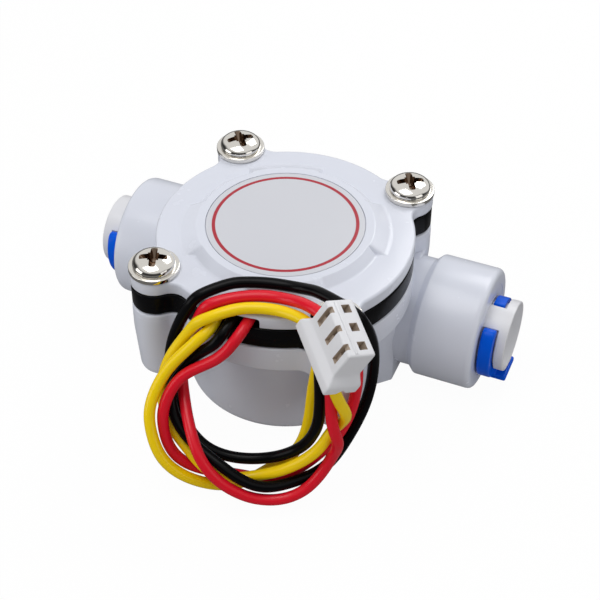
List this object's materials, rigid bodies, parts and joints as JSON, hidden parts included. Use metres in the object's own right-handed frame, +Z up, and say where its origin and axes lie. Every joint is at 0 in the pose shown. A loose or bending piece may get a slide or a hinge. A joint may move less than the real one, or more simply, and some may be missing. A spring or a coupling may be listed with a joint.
{
  "type": "water flow sensor",
  "caption": "Turbine water flow sensor: round moulded body, push-fit tube ports in one line, hall board under a screwed cap, wire lead with a crimp connector.",
  "frame": {"origin": "on the turbine's axis at the flat bottom of the cup", "axes": "+X along the two tube ports, +Z up along the turbine's axis, +Y away from the wire exit, towards the ports' offset side"},
  "size_m": [0.0602, 0.0457, 0.0347],
  "materials": {
    "white_acetal": "moulded, slightly glossy",
    "white_nylon": "moulded, satin",
    "black_acetal": "moulded, slightly glossy",
    "label_film": "printed film with a red ring",
    "blue_acetal": "moulded, slightly glossy",
    "nitrile_rubber": "plain",
    "nickel_plated_steel": "nickel plated",
    "stainless_steel": "plain",
    "tinned_brass": "tinned",
    "ferrite_magnet": "sintered ferrite",
    "circuit_board": "solder mask",
    "epoxy_package": "moulded epoxy",
    "chip_ceramic": "fired ceramic",
    "wire_red": "insulated wire",
    "wire_black": "insulated wire",
    "wire_yellow": "insulated wire"
  },
  "bodies": {
    "housing": {"black_wire": "wire_black", "chamber_o_ring": "nitrile_rubber", "chip_capacitor": "chip_ceramic", "chip_resistor": "chip_ceramic", "connector_housing": "white_nylon", "crimp_terminal_black": "tinned_brass", "crimp_terminal_red": "tinned_brass", "crimp_terminal_yellow": "tinned_brass", "hall_board": "circuit_board", "hall_sensor": "epoxy_package", "impeller_shaft": "stainless_steel", "label": "label_film", "left_cartridge_ring": "white_acetal", "left_collet": "white_nylon", "left_grab_ring": "stainless_steel", "left_locking_clip": "blue_acetal", "left_tube_o_ring": "nitrile_rubber", "lower_housing": "white_acetal", "red_wire": "wire_red", "right_cartridge_ring": "white_acetal", "right_collet": "white_nylon", "right_grab_ring": "stainless_steel", "right_locking_clip": "blue_acetal", "right_tube_o_ring": "nitrile_rubber", "screw_front_left": "nickel_plated_steel", "screw_front_right": "nickel_plated_steel", "screw_rear_left": "nickel_plated_steel", "screw_rear_right": "nickel_plated_steel", "sealing_plate": "black_acetal", "top_cap": "white_acetal", "washer_front_left": "nickel_plated_steel", "washer_front_right": "nickel_plated_steel", "washer_rear_left": "nickel_plated_steel", "washer_rear_right": "nickel_plated_steel", "yellow_wire": "wire_yellow"},
    "impeller": {"impeller": "white_acetal", "ring_magnet": "ferrite_magnet"}
  },
  "joints": [
    {"name": "impeller_spin", "type": "hinge", "parent": "housing", "child": "impeller", "pos_m": [0, 0, 0.0031], "axis": [0, 0, 1], "continuous": true}
  ]
}
